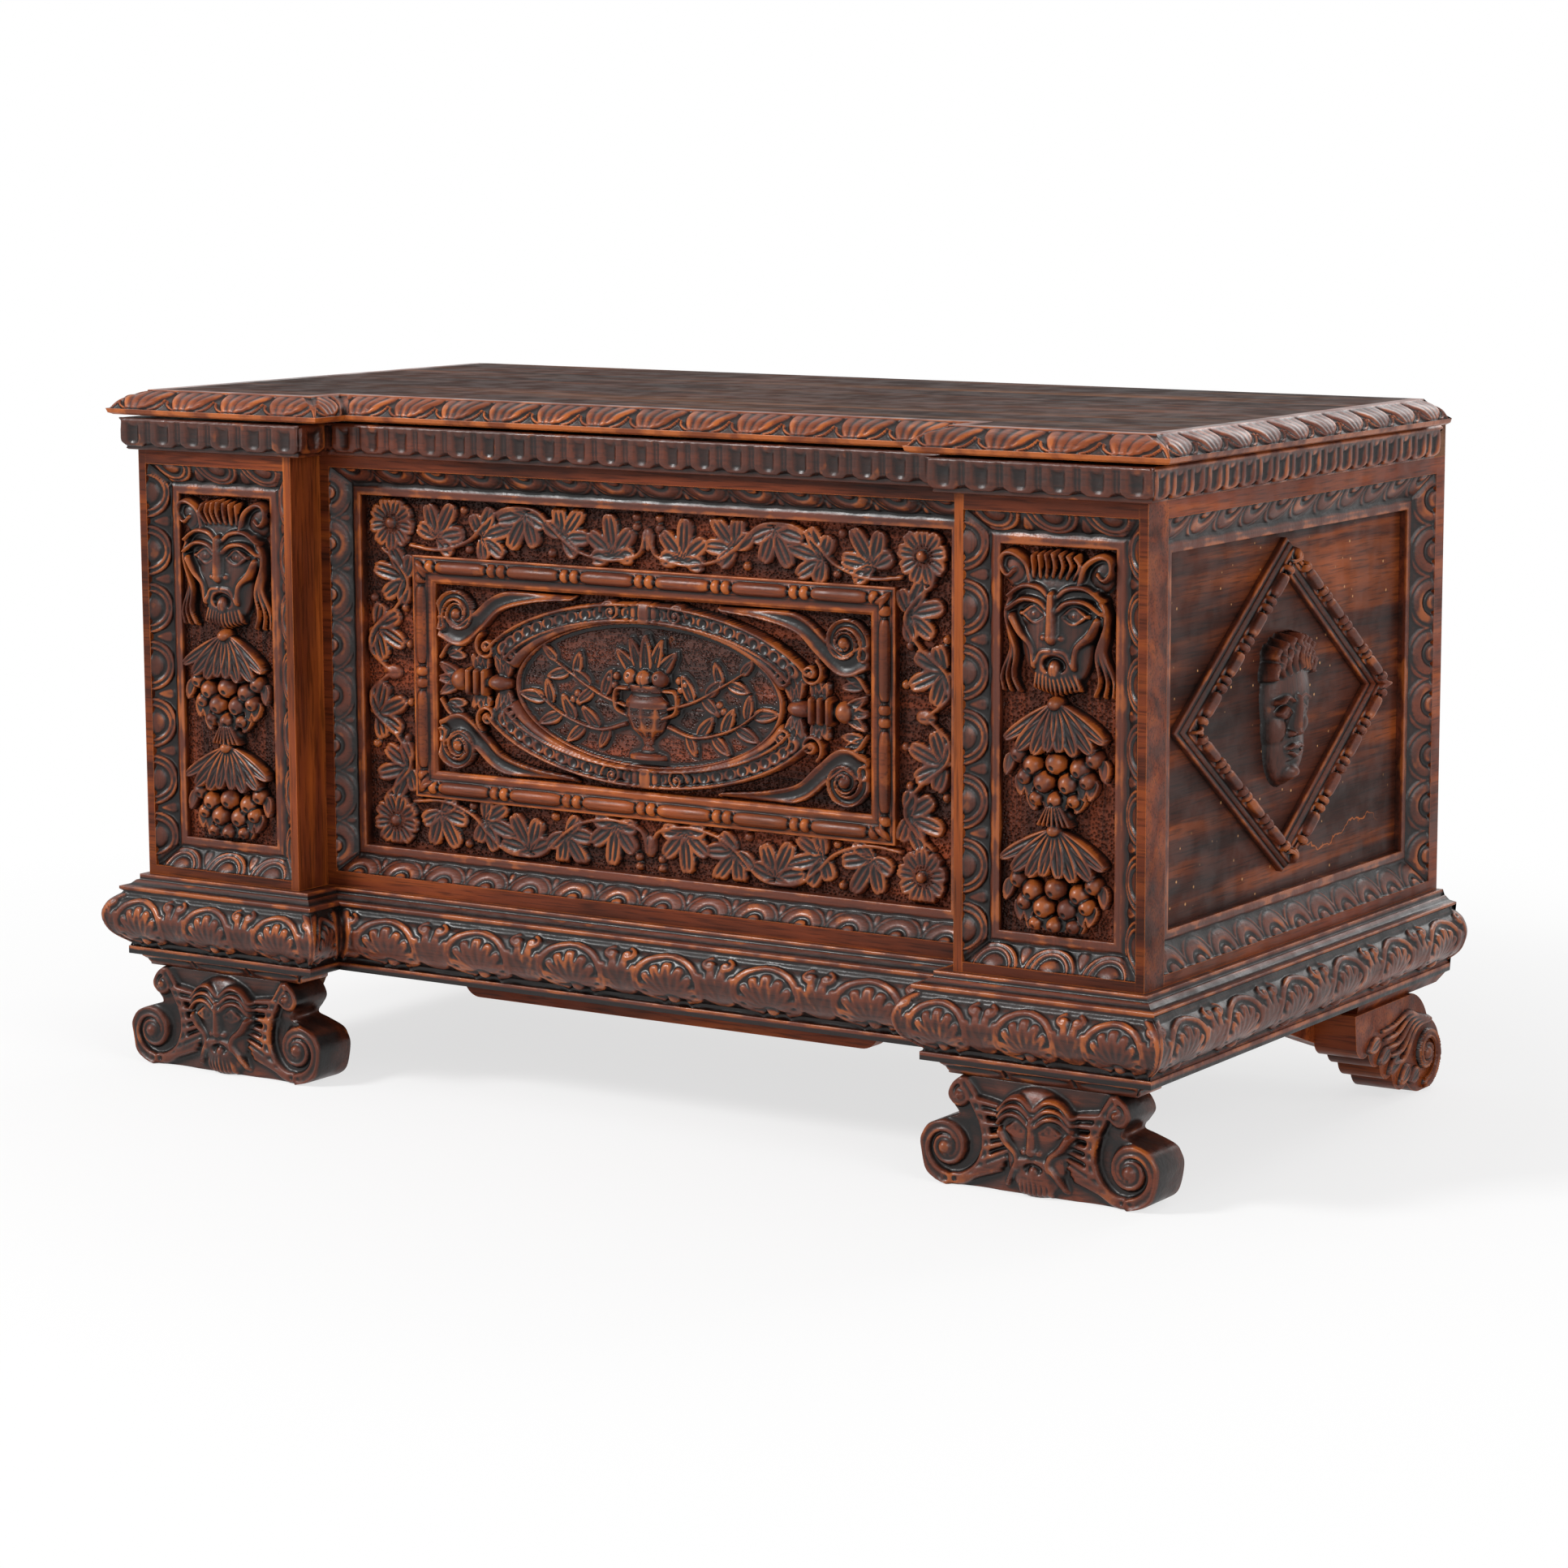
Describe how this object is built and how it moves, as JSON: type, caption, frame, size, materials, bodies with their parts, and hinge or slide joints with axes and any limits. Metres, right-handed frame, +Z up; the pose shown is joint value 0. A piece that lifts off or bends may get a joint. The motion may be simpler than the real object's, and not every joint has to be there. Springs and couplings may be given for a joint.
{
  "type": "carved chest",
  "caption": "Carved walnut cassone: a long chest with a hinged lid, satyr-mask pilasters, framed panels and scroll feet.",
  "frame": {"origin": "bounding box bottom centre, on the floor", "axes": "+X along the chest to the right seen from the front, -Y is the front, +Z up"},
  "size_m": [1.28, 0.678, 0.7155],
  "materials": {
    "carved_walnut": "polished and waxed, worn on the arrises",
    "plain_walnut": "dull, lightly waxed",
    "lid_walnut": "satin, worn lighter in streaks",
    "old_brass": "dull, tarnished"
  },
  "bodies": {
    "chest": {"back_boards": "plain_walnut", "back_brackets": "plain_walnut", "back_foot_caps": "carved_walnut", "back_rail": "plain_walnut", "base_back": "plain_walnut", "base_front": "carved_walnut", "base_left": "carved_walnut", "base_right": "carved_walnut", "bead_frame": "carved_walnut", "bottom_boards": "plain_walnut", "break_returns": "carved_walnut", "cartouche": "carved_walnut", "centre_frame": "carved_walnut", "centre_moulding": "carved_walnut", "centre_panel": "carved_walnut", "corner_posts": "plain_walnut", "end_board_left": "plain_walnut", "end_board_right": "plain_walnut", "end_frame_left": "carved_walnut", "end_frame_right": "carved_walnut", "end_head_left": "carved_walnut", "end_head_right": "carved_walnut", "end_moulding_left": "carved_walnut", "end_moulding_right": "carved_walnut", "end_panel_left": "carved_walnut", "end_panel_right": "carved_walnut", "foot_back_left": "carved_walnut", "foot_back_right": "carved_walnut", "foot_front_left": "carved_walnut", "foot_front_right": "carved_walnut", "frieze_front": "carved_walnut", "frieze_left": "carved_walnut", "frieze_right": "carved_walnut", "front_board": "plain_walnut", "front_foot_caps": "carved_walnut", "fruit_drop_left": "carved_walnut", "fruit_drop_right": "carved_walnut", "glue_blocks": "plain_walnut", "hinge_pins": "old_brass", "hinge_rail_leaves": "old_brass", "lozenge_frame_left": "carved_walnut", "lozenge_frame_right": "carved_walnut", "medallion": "carved_walnut", "pilaster_frame_left": "carved_walnut", "pilaster_frame_right": "carved_walnut", "pilaster_moulding_left": "carved_walnut", "pilaster_moulding_right": "carved_walnut", "pilaster_panel_left": "carved_walnut", "pilaster_panel_right": "carved_walnut", "satyr_mask_left": "carved_walnut", "satyr_mask_right": "carved_walnut", "under_batten": "plain_walnut"},
    "lid": {"lid_boards": "lid_walnut", "lid_edge_front": "carved_walnut", "lid_edge_left": "carved_walnut", "lid_edge_right": "carved_walnut", "lid_battens": "plain_walnut", "hinge_lid_leaves": "old_brass"}
  },
  "joints": [
    {"name": "lid_hinge", "type": "hinge", "parent": "chest", "child": "lid", "pos_m": [0, 0.286, 0.6924], "axis": [-1, 0, 0], "range_deg": [0, 100]}
  ]
}
